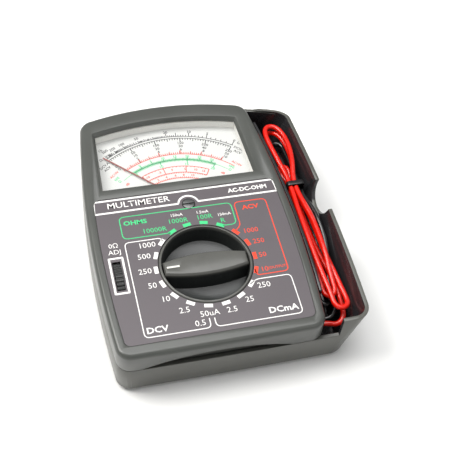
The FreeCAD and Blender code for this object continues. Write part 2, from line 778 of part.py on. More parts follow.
resistors = []
for i in range(14):
    row, column = divmod(i, 7)
    middle_x, middle_y = -36.0 + column * 9.0, -14.0 - row * 34.0
    profile = [(0, -5.0), (0.3, -5.0), (0.3, -3.2), (1.2, -3.2), (1.2, 3.2), (0.3, 3.2), (0.3, 5.0), (0, 5.0)]
    resistors.append(turned(f"resistor_{i}", profile, middle_x, middle_y, 11.2, "Y"))
keep(group(*resistors), "resistors")
diodes = [rod(x, -31.0, 11.6, 0.9, 4.0, "X") for x in (4.0, 12.0)]
keep(group(*diodes), "protection_diodes")
keep(rod(24.0, -30.0, 5.0, 4.2, 7.9), "capacitor")
FUSE_Y, FUSE_Z = -56.0, 17.9
fuse_caps = [rod(x, FUSE_Y, FUSE_Z, 2.6, 5.0, "X") for x in (9.0, 24.0)]
keep(group(*fuse_caps, rod(14.0, FUSE_Y, FUSE_Z, 2.4, 10.0, "X")), "fuse")
clips = []
for x in (10.0, 25.0):
    block = box(x, FUSE_Y - 3.3, board_top, 3.0, 6.6, 5.2)
    mouth = box(x - 1, FUSE_Y - 2.2, 18, 6, 4.4, 4)
    clips.append(cut(block, rod(x - 1, FUSE_Y, FUSE_Z, 2.62, 6, "X"), mouth))
keep(group(*clips), "fuse_clips")
trimmer = cut(rod(24.0, -12.0, board_top, 3.4, 4.2), box(21.5, -12.4, board_top + 3.4, 5.0, 0.8, 2))
keep(trimmer, "calibration_trimmer")

# ohms adjuster: a thumbwheel on a small potentiometer
keep(
    fuse(
        cut(
            rod(wheel_x + 2.3, wheel_y, wheel_z, 5.2, 6.2, "X"),
            rod(wheel_x + 2.2, wheel_y, wheel_z, 2.0 + run_gap, 7, "X"),
        ),
        cut(
            box(wheel_x + 3.1, wheel_y - 4.0, board_top, 4.6, 8.0, 3.0),
            rod(wheel_x, wheel_y, wheel_z, 2.0 + run_gap, 10, "X"),
        ),
    ),
    "adjuster_body",
)
keep(rod(wheel_x - 1.0, wheel_y, wheel_z, 2.0, 9.0, "X"), "adjuster_shaft")
wheel_blank = cut(
    rod(wheel_x - wheel_thick / 2, wheel_y, wheel_z, wheel_radius, wheel_thick, "X"),
    rod(wheel_x - 4, wheel_y, wheel_z, 2.0, 8, "X"),
)
TEETH = 36
tooth_cuts = []
for i in range(TEETH):
    angle = math.radians(i * 360 / TEETH)
    tool = rod(wheel_x - 4, 0, 0, 0.45, 8, "X")
    out = wheel_radius + 0.1
    put(tool, wheel_x - 4, wheel_y + out * math.cos(angle), wheel_z + out * math.sin(angle))
    tooth_cuts.append(tool)
keep(cut(wheel_blank, *tooth_cuts), "adjust_wheel")

# ---------------------------------------------------------------- batteries

AA = [(0, 0), (6.9, 0), (7.1, 0.3), (7.1, 48.8), (6.9, 49.2), (2.8, 49.2), (2.8, 50.2), (0, 50.2)]
cells = [turned(f"cell_{i}", AA, x, 3.2, 11.6, "Y") for i, x in enumerate((8.7, 23.3))]
keep(group(*cells), "round_cells")
NINE = (-51.0, 8.0, 4.4, 26.0, 46.5, 17.2)  # the low corner, then the size
TERMINALS = (-44.0, -31.5)
keep(
    fuse(box(*NINE), *[rod(x, 54.4, 13.0, 2.9, 2.2, "Y") for x in TERMINALS]),
    "nine_volt_battery",
)
springs_ends = []
for x in (8.7, 23.3):
    springs_ends.append(box(x - 4.5, 2.4, 6.0, 9.0, 0.5, 11.0))
    springs_ends.append(box(x - 4.5, 53.7, 6.0, 9.0, 0.5, 11.0))
keep(group(*springs_ends), "battery_contacts")
keep(
    cut(
        box(-48.5, 54.7, 8.0, 21.5, 2.6, 10.0),
        *[rod(x, 54.0, 13.0, 3.0, 4, "Y") for x in TERMINALS],
    ),
    "battery_snap",
)

# ---------------------------------------------------------------- rear shell

rear_outer = prism(grow(meter_plan, -rear_inset, rear_bottom), rear_top - rear_bottom)
rear_inner = prism(grow(meter_plan, -(rear_inset + rear_wall), rear_bottom + 1.7), 40)
hatch_gap = common(
    box(-55.0, 1.6, 0, 86.0, 56.6, 4.4), prism(grow(meter_plan, -(rear_inset + rear_wall), -1), 8)
)
posts = [rod(x, y, rear_bottom, 3.4, 4.1) for x, y in BOSSES]
post_bores = [rod(x, y, rear_bottom - 1, 2.6, 2.8) for x, y in BOSSES]
post_holes = [rod(x, y, rear_bottom - 1, 1.25, 8) for x, y in BOSSES]
grommet_window = box(30, -66.4, 8.0, 10, 10.4, 9.6)
keep(
    cut(
        fuse(cut(rear_outer, rear_inner), *posts), hatch_gap, *post_bores, *post_holes, grommet_window
    ),
    "rear_shell",
)
hatch_plate = common(
    box(-54.8, 1.8, rear_bottom, 85.6, 56.2, 1.6),
    prism(grow(meter_plan, -(rear_inset + 2.2), rear_bottom - 1), 6),
)
keep(hatch_plate, "battery_cover")
screw_profile = [(0, 0), (2.3, 0), (2.3, 1.5), (1.15, 1.5), (1.15, 10.5), (0, 12.0)]
case_screws = [
    turned(f"case_screw_{i}", screw_profile, x, y, rear_bottom + 0.2)
    for i, (x, y) in enumerate(BOSSES)
]
keep(group(*case_screws), "case_screws")

# ---------------------------------------------------------------- lead outlet

RED_OUT, BLACK_OUT = Vector(39.2, -63.4, 14.6), Vector(39.2, -59.0, 10.8)
keep(
    cut(
        box(34.6, -66.2, 8.2, 4.6, 10.0, 9.2),
        rod(33, RED_OUT.y, RED_OUT.z, lead / 2, 5.2, "X"),
        rod(33, BLACK_OUT.y, BLACK_OUT.z, lead / 2, 5.2, "X"),
    ),
    "lead_grommet",
)

# ---------------------------------------------------------------- probes


def probe(colour, rear, aim):
    """A turned handle with a ringed grip, and its steel pin, lying from rear towards aim."""
    r = plain(probe_radius)
    long = plain(probe_length)
    profile = [(0, 0), (1.9, 0), (2.3, 6.0), (r, 8.0)]
    for i in range(7):
        at = 10.0 + i * 2.0
        profile += [(r, at), (r - 0.35, at + 0.3), (r - 0.35, at + 0.9), (r, at + 1.2)]
    profile += [(r, long - 9.0), (2.5, long - 4.0), (2.5, long - 3.0), (r, long - 3.0), (r, long - 1.8)]
    profile += [(2.0, long - 1.8), (1.5, long), (0, long)]
    pin = [(0, long + 0.02), (1.0, long + 0.02), (1.0, long + 14.0), (0, long + 18.0)]
    turn = Rotation(Vector(0, 0, 1), aim - rear)
    for label, shape in ((f"{colour}_probe", profile), (f"{colour}_probe_pin", pin)):
        piece = turned(label + "_turned", shape)
        piece.Placement = Placement(rear, turn)
        keep(piece, label)


RED_REAR, BLACK_REAR = Vector(43.9, 42.0, 12.3), Vector(44.9, 27.0, 5.7)
probe("red", RED_REAR, Vector(48.0, -36.0, 12.3))
probe("black", BLACK_REAR, Vector(48.6, -51.0, 5.7))

# ---------------------------------------------------------------- leads

ROUTES = {
    "red_lead_exit": [
        (39.22, -63.4, 14.6), (43.2, -63.4, 14.6), (47.6, -66.2, 16.2), (51.2, -63.6, 17.6),
        (51.8, -59.0, 18.8), (51.4, -54.0, 20.6), (50.4, -49.4, 22.6),
    ],
    "black_lead_exit": [
        (39.22, -59.0, 10.8), (43.2, -59.0, 10.8), (47.4, -59.2, 11.8), (50.0, -56.0, 13.8),
        (50.6, -51.6, 15.8), (50.2, -47.0, 17.6), (49.6, -42.6, 18.6),
    ],
    "red_lead_end": [
        (43.9, 42.0, 12.3), (43.6, 46.6, 12.4), (43.6, 50.8, 13.8), (44.6, 53.2, 17.4),
        (45.6, 52.4, 21.2), (46.2, 48.2, 23.4),
    ],
    "black_lead_end": [
        (44.9, 27.0, 5.7), (44.9, 32.4, 5.5), (45.0, 38.0, 5.8), (45.8, 43.4, 7.4),
        (46.9, 46.8, 10.6), (47.4, 46.8, 14.8), (47.4, 43.0, 17.6), (47.4, 38.6, 18.8),
    ],
}


def tube(points):
    """A round lead along straight runs joined by arcs as large as the runs allow."""
    spots = [Vector(*p) for p in points]
    edges, start, radii = [], spots[0], []
    for before, spot, after in zip(spots, spots[1:], spots[2:]):
        back, ahead = (before - spot), (after - spot)
        turn = math.pi - back.getAngle(ahead)
        shorter = min(back.Length, ahead.Length)
        radius = 0.45 * shorter / math.tan(turn / 2)
        near = 0.45 * shorter
        p, q = spot + back.normalize() * near, spot + ahead.normalize() * near
        inward = ((p + q) / 2 - spot).normalize()
        centre = spot + inward * math.hypot(radius, near)
        edges += [Part.LineSegment(start, p).toShape()]
        edges += [Part.Arc(p, centre - inward * radius, q).toShape()]
        start = q
        radii.append(round(radius, 1))
    edges.append(Part.LineSegment(start, spots[-1]).toShape())
    wire = Part.Wire(edges)
    radius = plain(lead) / 2
    ring = Part.Wire(Part.makeCircle(radius, spots[0], spots[1] - spots[0]))
    shape = wire.makePipeShell([ring], True, True)
    expected = math.pi * radius**2 * wire.Length
    return shape, radii, wire.Length, shape.Volume / expected


HANK_PLANS = {
    "red": [
        (45.6, 53.6), (50.4, 48.0), (51.8, 38.0), (51.4, 26.0), (51.4, 13.0), (53.4, -6.0),
        (53.8, -24.0), (52.8, -40.0), (50.0, -51.0), (47.0, -47.0), (45.0, -30.0), (44.6, -10.0),
        (44.8, 13.0), (43.4, 28.0), (41.8, 40.0), (42.0, 49.0),
    ],
    "black": [
        (46.0, 48.6), (49.4, 43.0), (50.6, 32.0), (51.0, 22.0), (51.4, 13.0), (52.4, -6.0),
        (52.8, -22.0), (52.2, -36.0), (49.8, -46.0), (47.2, -42.0), (45.2, -26.0), (44.8, -8.0),
        (44.8, 13.0), (43.8, 26.0), (43.4, 36.0), (43.8, 44.0),
    ],
}


def hank(colour):
    """The closed outer shape of one lead's folded turns, pinched at the tie."""
    low, thick = HANK_Z[colour]
    curve = Part.BSplineCurve()
    curve.interpolate([Vector(x, y, low) for x, y in HANK_PLANS[colour]], PeriodicFlag=True)
    return Part.Face(Part.Wire(curve.toShape())).extrude(Vector(0, 0, thick))


hank_shapes = {colour: hank(colour) for colour in HANK_PLANS}
for colour, shape in hank_shapes.items():
    feature = doc.addObject("Part::Feature", f"{colour.title()}Hank")
    feature.Shape = shape
    keep(feature, f"{colour}_lead_hank")
for label, points in ROUTES.items():
    shape, radii, length, ratio = tube(points)
    print(f"{label}: length {length:.1f}, volume ratio {ratio:.3f}, radii {radii}")
    feature = doc.addObject("Part::Feature", "Tube")
    feature.Shape = shape.cut(hank_shapes[label.split("_")[0]])
    keep(feature, label)

# the wire tie goes round both hanks at their waist
TIE_Y, TIE_WIDE = 11.5, 2.6
TIE_LOW, TIE_ACROSS, TIE_HIGH, STRAP = Vector(43.4, TIE_Y, 16.0), 9.2, 11.8, 0.6
tie_out = box(*TIE_LOW, TIE_ACROSS, TIE_WIDE, TIE_HIGH)
tie_in = box(
    *(TIE_LOW + Vector(STRAP, -1, STRAP)), TIE_ACROSS - 2 * STRAP, TIE_WIDE + 2, TIE_HIGH - 2 * STRAP
)
tie_edge = doc.addObject("Part::Fillet", "TieEdge")
tie_edge.Base = tie_out
doc.recompute()
tie_edge.Edges = [
    (i + 1, 1.6, 1.6) for i, edge in enumerate(tie_out.Shape.Edges)
    if abs(edge.Vertexes[0].Y - edge.Vertexes[1].Y) > TIE_WIDE - 0.1
]
keep(cut(tie_edge, tie_in), "wire_tie")

# ---------------------------------------------------------------- check and write

doc.recompute()
faults = [o.Name for o in doc.Objects if "Invalid" in o.State or "Error" in o.State]
for obj in parts:
    shape = obj.Shape
    if shape.isNull() or not shape.isValid() or not shape.Solids:
        faults.append(obj.Label)
if faults:
    raise RuntimeError(f"these objects failed: {faults}")
os.makedirs("parts", exist_ok=True)
for obj in parts:
    obj.Shape.exportStep(f"parts/{obj.Label}.step")
    b = obj.Shape.BoundBox
    print(
        f"{obj.Label}: {len(obj.Shape.Solids)} solid(s), x {b.XMin:.1f}..{b.XMax:.1f},"
        f" y {b.YMin:.1f}..{b.YMax:.1f}, z {b.ZMin:.1f}..{b.ZMax:.1f}"
    )
print(len(parts), "sub-parts")
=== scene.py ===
# %% [markdown]
# # A pocket multimeter in its tray
# The object is a needle multimeter that lies in a tray, with its two leads folded away beside it.
# This script gives them their finishes, makes the leads, prints the label and the dial, and sets a
# camera and soft lights.

import json
import math

import bmesh
import bpy
from mathutils import Matrix, Vector


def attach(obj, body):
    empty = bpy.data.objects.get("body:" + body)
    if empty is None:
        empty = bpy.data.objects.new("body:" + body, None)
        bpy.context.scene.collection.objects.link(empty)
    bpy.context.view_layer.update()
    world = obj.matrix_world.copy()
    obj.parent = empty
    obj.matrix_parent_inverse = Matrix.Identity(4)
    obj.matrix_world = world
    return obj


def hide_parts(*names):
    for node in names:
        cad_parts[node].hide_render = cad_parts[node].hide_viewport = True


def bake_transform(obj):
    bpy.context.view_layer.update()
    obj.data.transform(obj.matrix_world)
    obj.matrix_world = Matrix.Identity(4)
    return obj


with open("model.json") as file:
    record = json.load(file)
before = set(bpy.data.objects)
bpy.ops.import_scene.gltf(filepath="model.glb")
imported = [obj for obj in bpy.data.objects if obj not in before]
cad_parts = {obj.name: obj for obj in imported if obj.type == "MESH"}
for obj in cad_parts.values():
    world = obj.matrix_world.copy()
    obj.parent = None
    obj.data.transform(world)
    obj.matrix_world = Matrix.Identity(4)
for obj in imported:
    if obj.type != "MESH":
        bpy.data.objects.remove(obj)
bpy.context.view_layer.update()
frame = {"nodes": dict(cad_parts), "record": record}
nodes = frame["nodes"]
MM = 0.001
print("pieces from the frame:", len(nodes))

# %% [markdown]
# ## Camera
# The camera looks down at the face from the front left.

# %% Camera
RIGHT = Vector((0.96917, -0.23302, 0.08024))
FORWARD = Vector((0.20594, 0.57721, -0.79020)).normalized()
down = FORWARD.cross(RIGHT).normalized()
right = down.cross(FORWARD)

CAMERA_PLACE = tuple(value * MM for value in (-90.25, -277.2, 396.6))
camera_data = bpy.data.cameras.new("view")
camera_data.lens = 76.55
camera_data.sensor_width = 36.0
camera_data.clip_start = 0.01
camera = bpy.data.objects.new("view", camera_data)
bpy.context.scene.collection.objects.link(camera)
camera.matrix_world = Matrix(
    [[right[i], -down[i], -FORWARD[i], CAMERA_PLACE[i]] for i in range(3)] + [[0, 0, 0, 1]]
)
bpy.context.scene.camera = camera

# %% [markdown]
# ## Meshes in plain code
# Four small helpers are used all through: one links a mesh as a piece with its body and finish,
# one turns a curve or a text into a plain mesh, one joins meshes, and one shades a mesh smooth.

# %% Small makers


def add_piece(name, mesh, body, material=None):
    """Links a finished mesh, says which body carries it and gives it its finish."""
    piece = bpy.data.objects.new(name, mesh)
    bpy.context.scene.collection.objects.link(piece)
    if material:
        mesh.materials.clear()
        mesh.materials.append(material)
    if body:
        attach(piece, body)
    return piece


def plain_mesh(data, name):
    """The mesh that a curve or a text makes."""
    holder = bpy.data.objects.new(name, data)
    bpy.context.scene.collection.objects.link(holder)
    bpy.context.view_layer.update()
    graph = bpy.context.evaluated_depsgraph_get()
    mesh = bpy.data.meshes.new_from_object(holder.evaluated_get(graph))
    bpy.data.objects.remove(holder)
    mesh.name = name
    return mesh


def joined(meshes, name):
    """Several meshes as one."""
    bm = bmesh.new()
    for mesh in meshes:
        bm.from_mesh(mesh)
    result = bpy.data.meshes.new(name)
    bm.to_mesh(result)
    bm.free()
    return result


def smooth(mesh, degrees):
    """Shades a mesh smooth, apart from edges sharper than an angle."""
    mesh.shade_smooth()
    mesh.set_sharp_from_angle(angle=math.radians(degrees))
    return mesh


# %% [markdown]
# ## The two leads
# A test lead is a fine, limp, rubber-skinned wire. Each leaves the meter through the grommet at
# its front corner, is folded five times along the bay, passes the wire tie at the waist of the
# bundle, and ends in the back of its probe. Each is one NURBS spline with the same ends as the
# engineered tubes. The tube mesh comes from that spline with a round bevel.

# %% Routes of the leads, in millimetres
RED_ROUTE = [
    (39.22, -63.4, 14.6), (43.2, -63.4, 14.6), (47.6, -66.2, 16.2), (51.2, -63.6, 17.6),
    (51.8, -59, 18.8), (51.5, -54, 20.6), (51.4, -48.4, 21.4), (50.8, -42, 21.6), (49.8, -35, 21.4),
    (48.6, -26, 21.2), (48.1, -14, 20.9), (48, -2, 20.6), (48, 7.5, 20.5), (48, 16, 20.6),
    (48.3, 21.5, 21.4), (48.4, 26.4, 22.4), (45.6, 28.1, 23), (42.8, 26.4, 23.4),
    (43.4, 21.5, 23.4), (45.4, 17, 23.1), (45.4, 7.5, 23.1), (45.6, -2, 23.2), (45.3, -14, 23.3),
    (45.2, -27, 23.1), (45, -38, 22.9), (44.3, -46.5, 22.6), (44, -52.2, 22.4), (46.8, -53.9, 22.4),
    (49.6, -52.2, 22.8), (49.7, -47.6, 23.8), (49.6, -41.5, 25.2), (50.2, -33, 26.8),
    (50.5, -22, 26.9), (50.2, -10, 26.8), (49, -1, 26.4), (48, 7.5, 25.7), (48, 17, 25.8),
    (50.3, 26, 26.9), (51.7, 36, 27.1), (51.2, 44.6, 27.1), (49.3, 50.2, 27.2), (46.6, 52.8, 27.2),
    (43.2, 52.6, 27.3), (41.4, 49.6, 27.2), (41.4, 43.6, 26.9), (42.6, 35, 26.6), (44, 26, 26.1),
    (45.4, 17, 25.7), (45.4, 7.5, 25.7), (44.9, -2, 26.1), (44.8, -13, 26.4), (44.8, -25, 26.4),
    (45.1, -37, 26.2), (45.6, -47, 26), (46.3, -54, 25.2), (46.5, -60.4, 24.4), (50, -62.4, 24),
    (53.4, -60.4, 23.8), (53.2, -54.4, 23.7), (52.7, -49, 23.7), (52.2, -42, 23.8), (51, -31, 24),
    (50.8, -16, 24.1), (50.4, -5, 24.1), (48, 7, 23.2), (48, 17, 23.3), (50.6, 25, 24.4),
    (51.6, 34, 24.3), (51.2, 42, 24.1), (49.2, 48.8, 24.3), (46.2, 51.4, 23.6), (45, 54, 20.4),
    (44.2, 53.2, 16.8), (43.6, 50.8, 13.8), (43.6, 46.6, 12.4), (43.9, 42, 12.3),
]
BLACK_ROUTE = [
    (39.22, -59, 10.8), (43.2, -59, 10.8), (47.4, -59.2, 11.8), (50, -56, 13.8),
    (50.6, -51.6, 15.8), (50.2, -47, 17.6), (49.8, -42, 18.7), (51.4, -35, 19.4), (53.4, -26, 22.2),
    (53.8, -14, 24.4), (53.4, -3, 24.4), (50.7, 7, 22.9), (50.7, 17, 22.7), (51.1, 25, 21.3),
    (51, 33, 20.8), (50.5, 39.5, 20.5), (50.3, 44.6, 20.5), (46.9, 46.6, 20.5), (43.5, 44.6, 20.5),
    (43.4, 39.5, 20.5), (44, 33, 20.5), (45, 23, 20.5), (45.4, 16, 20.5), (45.4, 5, 20.5),
    (45.4, -8, 20.5), (45.3, -20, 20.4), (45.4, -30.5, 19.8), (44.8, -36.5, 18),
    (44.6, -42.6, 15.9), (48.1, -44.6, 15.5), (51.6, -42.6, 15.3), (51.7, -38.4, 15.4),
    (51.6, -35.4, 15.6), (51.4, -30, 16), (51.3, -18, 17.7), (51.2, -5, 17.9), (50.6, 6, 17.9),
    (50.6, 17, 17.9), (50.3, 24.5, 17.8), (50.2, 29, 17.4), (50, 33, 17), (46.7, 34.9, 16.9),
    (43.5, 33, 17), (43.5, 28.6, 17.3), (44.8, 22, 17.8), (45.4, 14, 17.9), (45.4, 4, 17.9),
    (45.3, -7, 17.9), (45.1, -17, 17.7), (45, -27, 15.8), (44.9, -38, 13.2), (44.5, -44, 12.6),
    (44.3, -50.8, 12.4), (47.6, -52.7, 12.2), (50.8, -50.8, 12), (50.8, -46.6, 12.1),
    (50.4, -43, 12.4), (49.7, -37, 13), (49, -28, 15.2), (48.4, -18, 17.2), (48, -8, 17.9),
    (48, 2, 17.9), (48, 16, 17.9), (48, 22, 18.5), (47.8, 28, 20), (47.6, 33.6, 20.3),
    (47.5, 38.6, 18.9), (47.4, 43.4, 17.4), (47.4, 47.4, 14.8), (46.9, 47.4, 10.6),
    (45.8, 43.4, 7.4), (45, 38, 5.8), (44.9, 32.4, 5.5), (44.9, 27, 5.7),
]
LEAD = 2.6 * MM  # its diameter
PIECES_A_BEND, SIDES_A_QUARTER = 6, 3


def lead_curve(route, name, thick):
    """The lead's own spline, as a bare line or as a round tube."""
    data = bpy.data.curves.new(name, "CURVE")
    data.dimensions = "3D"
    spline = data.splines.new("NURBS")
    spline.points.add(len(route) - 1)
    for point, place in zip(spline.points, route):
        point.co = (*[value * MM for value in place], 1)
    spline.order_u = 3
    spline.use_endpoint_u = True
    spline.resolution_u = PIECES_A_BEND
    if thick:
        data.bevel_depth = LEAD / 2
        data.bevel_resolution = SIDES_A_QUARTER
        data.use_fill_caps = True
    return data


# %% The leads
leads = {}
for colour, route in (("red", RED_ROUTE), ("black", BLACK_ROUTE)):
    line = plain_mesh(lead_curve(route, "line", False), "line")
    tube = plain_mesh(lead_curve(route, "tube", True), f"{colour}_lead")
    tube.shade_smooth()
    leads[colour] = add_piece(f"{colour}_lead", tube, None)
    print(colour, "lead:", len(route), "points,", len(tube.polygons), "faces")

# %% [markdown]
# ## Shader maths
# A finish is worked out with nodes. Writing each sum as a Python expression keeps it readable, so
# one small class wraps a socket, and its operators add the Math nodes.

# %% Shader maths


class Flow:
    """A value that runs through a node tree."""

    def __init__(self, tree, socket):
        self.tree, self.socket = tree, socket

    def math(self, operation, *values):
        return build(self.tree, "ShaderNodeMath", {"operation": operation}, dict(enumerate(values)))

    def __add__(self, other):
        return self.math("ADD", self, other)

    __radd__ = __add__

    def __sub__(self, other):
        return self.math("SUBTRACT", self, other)

    def __rsub__(self, other):
        return self.math("SUBTRACT", other, self)

    def __mul__(self, other):
        return self.math("MULTIPLY", self, other)

    __rmul__ = __mul__

    def __truediv__(self, other):
        return self.math("DIVIDE", self, other)

    def __rtruediv__(self, other):
        return self.math("DIVIDE", other, self)


def build(tree, kind, settings, values, out=0):
    """Adds one node: its settings first, then its inputs by name or number."""
    node = tree.nodes.new(kind)
    for key, value in settings.items():
        if key == "stops":
            ramp = node.color_ramp.elements
            for stop, (place, shade) in zip((ramp[0], ramp[1]), value):
                stop.position, stop.color = place, shade
        else:
            setattr(node, key, value)
    for key, value in values.items():
        if isinstance(value, Flow):
            tree.links.new(value.socket, node.inputs[key])
        else:
            node.inputs[key].default_value = value
    return Flow(tree, node.outputs[out])


def rgb(red, green, blue):
    """A colour given as it looks on a screen, 0 to 255, made linear."""
    linear = [
        (c / 255 + 0.055) ** 2.4 / 1.055**2.4 if c > 10 else c / 255 / 12.92
        for c in (red, green, blue)
    ]
    return (*linear, 1)


# %% [markdown]
# ## Finishes
# Moulded plastic is never one flat colour: its shade drifts a little, and a fine grain breaks its
# gloss. One recipe covers every plastic and paint here, with the two colours, the gloss and the
# grain size as its settings. A second covers metals, with fine turning or brushing lines.

# %% Recipes


def new_finish(name):
    material = bpy.data.materials.new(name)
    material.use_nodes = True
    tree = material.node_tree
    shader = tree.nodes["Principled BSDF"]
    place = build(tree, "ShaderNodeTexCoord", {}, {}, out="Object")
    return material, tree, shader, place


def noise(tree, place, scale, detail=3.0, rough=0.5):
    return build(
        tree, "ShaderNodeTexNoise", {},
        {"Vector": place, "Scale": scale, "Detail": detail, "Roughness": rough}, out="Fac",
    )


def plastic(name, dark, light, gloss, grain=2600.0, bump=0.00002, coat=0.0, drift=60.0):
    """A moulded or painted surface: gloss is its roughness, grain the fineness of its texture."""
    material, tree, shader, place = new_finish(name)
    cloud = noise(tree, place, drift)
    fine = noise(tree, place, grain, 2.0, 0.6)
    shade = build(
        tree, "ShaderNodeMix", {"data_type": "RGBA"},
        {"Factor": cloud * 0.7 + fine * 0.3, 6: dark, 7: light}, out=2,
    )
    tree.links.new(shade.socket, shader.inputs["Base Color"])
    rough = gloss + (cloud - 0.5) * (gloss * 0.5) + (fine - 0.5) * (gloss * 0.35)
    tree.links.new(rough.socket, shader.inputs["Roughness"])
    texture = build(
        tree, "ShaderNodeBump", {}, {"Strength": 0.6, "Distance": bump, "Height": fine},
        out="Normal",
    )
    tree.links.new(texture.socket, shader.inputs["Normal"])
    shader.inputs["Coat Weight"].default_value = coat
    shader.inputs["Coat Roughness"].default_value = 0.12
    return material


LINE_DEPTH = 0.01 * MM  # of the turning lines in a metal


def metal(name, dark, light, gloss, scale=(400.0, 400.0, 9000.0)):
    """A bare metal with fine lines: scale is large across the lines and small along them."""
    material, tree, shader, place = new_finish(name)
    stretched = build(
        tree, "ShaderNodeVectorMath", {"operation": "MULTIPLY"}, {0: place, 1: scale}
    )
    lines = noise(tree, stretched, 1.0)
    cloud = noise(tree, place, 90.0)
    shade = build(
        tree, "ShaderNodeMix", {"data_type": "RGBA"},
        {"Factor": lines * 0.6 + cloud * 0.4, 6: dark, 7: light}, out=2,
    )
    tree.links.new(shade.socket, shader.inputs["Base Color"])
    tree.links.new((gloss + (lines - 0.5) * gloss).socket, shader.inputs["Roughness"])
    texture = build(
        tree, "ShaderNodeBump", {}, {"Strength": 0.3, "Distance": LINE_DEPTH, "Height": lines},
        out="Normal",
    )
    tree.links.new(texture.socket, shader.inputs["Normal"])
    shader.inputs["Metallic"].default_value = 1.0
    return material


# %% The finishes of this meter
finish = {
    "shell_grey": plastic("satin case grey", rgb(68, 70, 67), rgb(77, 79, 75), 0.34, coat=0.15),
    "tray_grey": plastic("tray case grey", rgb(72, 73, 68), rgb(84, 84, 78), 0.34, coat=0.2),
    # a darker copy of the tray plastic: painted shade for the inside of the tray
    "tray_inside_painted_shade": plastic("tray inside", rgb(30, 30, 32), rgb(40, 40, 42), 0.26, coat=0.4),
    "label_print": plastic(
        "label ground", rgb(85, 79, 83), rgb(93, 87, 91), 0.42, 3600.0, 0.000008,
    ),
    "cover_grey": plastic("movement cover", rgb(232, 231, 226), rgb(240, 239, 233), 0.5),
    "dial_white": plastic(
        "dial card", rgb(204, 205, 203), rgb(212, 213, 210), 0.6, 5200.0, 0.000004,
    ),
    "needle_red": plastic("needle paint", rgb(128, 34, 26), rgb(146, 46, 34), 0.4),
    "knob_black": plastic(
        "knob black", rgb(33, 35, 35), rgb(43, 46, 45), 0.32, 3200.0, 0.000012, coat=0.1,
    ),
    "inlay_white": plastic("inlay white", rgb(224, 222, 214), rgb(240, 238, 230), 0.45),
    "inner_plastic": plastic("inner moulding", rgb(206, 198, 172), rgb(222, 214, 190), 0.45),
    "wheel_black": plastic("thumbwheel black", rgb(30, 31, 31), rgb(46, 47, 46), 0.4),
    "board": plastic("circuit laminate", rgb(150, 112, 52), rgb(172, 132, 66), 0.45),
    "component": plastic(
        "component lacquer", rgb(196, 168, 120), rgb(214, 188, 140), 0.35, coat=0.4,
    ),
    "battery_jacket": plastic("battery sleeve", rgb(44, 60, 96), rgb(56, 74, 112), 0.3, coat=0.5),
    "grommet_rubber": plastic("grommet rubber", rgb(24, 24, 24), rgb(38, 38, 38), 0.65),
    "probe_red": plastic("probe red", rgb(190, 20, 12), rgb(206, 32, 20), 0.22, coat=0.5),
    "probe_black": plastic("probe black", rgb(18, 18, 19), rgb(28, 28, 29), 0.22, coat=0.5),
    "lead_red": plastic(
        "lead red", rgb(214, 18, 3), rgb(230, 28, 7), 0.24, 1500.0, 0.00003, coat=0.2,
    ),
    "lead_black": plastic(
        "lead black", rgb(14, 14, 15), rgb(26, 26, 27), 0.2, 1500.0, 0.00003, coat=0.6,
    ),
    "tie_black": plastic("tie black", rgb(16, 16, 17), rgb(28, 28, 29), 0.3),
    "steel": metal("bright steel", rgb(150, 151, 152), rgb(196, 196, 196), 0.3),
    "screw_steel": metal(
        "dull screw", rgb(96, 98, 98), rgb(128, 129, 128), 0.45, (9000.0, 400.0, 400.0),
    ),
    "magnet": metal(
        "cast magnet", rgb(84, 84, 86), rgb(110, 110, 112), 0.55, (500.0, 500.0, 500.0),
    ),
    "brass": metal("brass", rgb(176, 142, 70), rgb(206, 174, 100), 0.3),
    "coil_copper": metal(
        "coil wire", rgb(156, 84, 46), rgb(190, 112, 66), 0.35, (60.0, 60.0, 12000.0),
    ),
    "white_ink": plastic(
        "white ink", rgb(232, 230, 228), rgb(244, 243, 240), 0.5, 4200.0, 0.000004,
    ),
    "green_ink": plastic("green ink", rgb(52, 196, 120), rgb(66, 210, 134), 0.5, 4200.0, 0.000004),
    "red_ink": plastic("red ink", rgb(228, 58, 28), rgb(240, 72, 38), 0.5, 4200.0, 0.000004),
    "dial_black_ink": plastic(
        "dial black ink", rgb(20, 20, 22), rgb(34, 34, 36), 0.6, 4200.0, 0.000004,
    ),
}


def clear(name, tint, cover, gloss):
    """A clear moulding: mostly see-through, with its shine on top."""
    material, tree, shader, place = new_finish(name)
    haze = noise(tree, place, 140.0)
    alpha = cover + (haze - 0.5) * (cover * 0.4)
    tree.links.new(alpha.socket, shader.inputs["Alpha"])
    tree.links.new((gloss + haze * 0.02).socket, shader.inputs["Roughness"])
    shader.inputs["Base Color"].default_value = tint
    return material


# %% [markdown]
# ## A grip bar, paler on top with wear and a painted sheen
# The top of the grip bar is paler than the cup that it stands in: partly wear from fingers, and
# partly a painted sheen where the light from above falls on its flat top. The height of a point
# tells how pale it is, and a soft noise keeps that from being even. A mask painted by hand would do
# too, but height is enough, because only the bar stands so high.

# %% Wear and painted sheen on top of the knob
tree = finish["knob_black"].node_tree
shader = tree.nodes["Principled BSDF"]
place = build(tree, "ShaderNodeTexCoord", {}, {}, out="Object")
height = build(tree, "ShaderNodeSeparateXYZ", {}, {0: place}, out="Z")
WEAR_AND_SHEEN_LOW, WEAR_AND_SHEEN_HIGH = 28.6 * MM, 30.4 * MM  # heights where the wear and painted sheen start and are full
wear_and_sheen = build(
    tree, "ShaderNodeMapRange", {"interpolation_type": "SMOOTHSTEP"},
    {"Value": height, "From Min": WEAR_AND_SHEEN_LOW, "From Max": WEAR_AND_SHEEN_HIGH},
)
plain_black = Flow(tree, shader.inputs["Base Color"].links[0].from_socket)
uneven_wear_and_sheen = wear_and_sheen * (0.75 + 0.25 * noise(tree, place, 260.0))
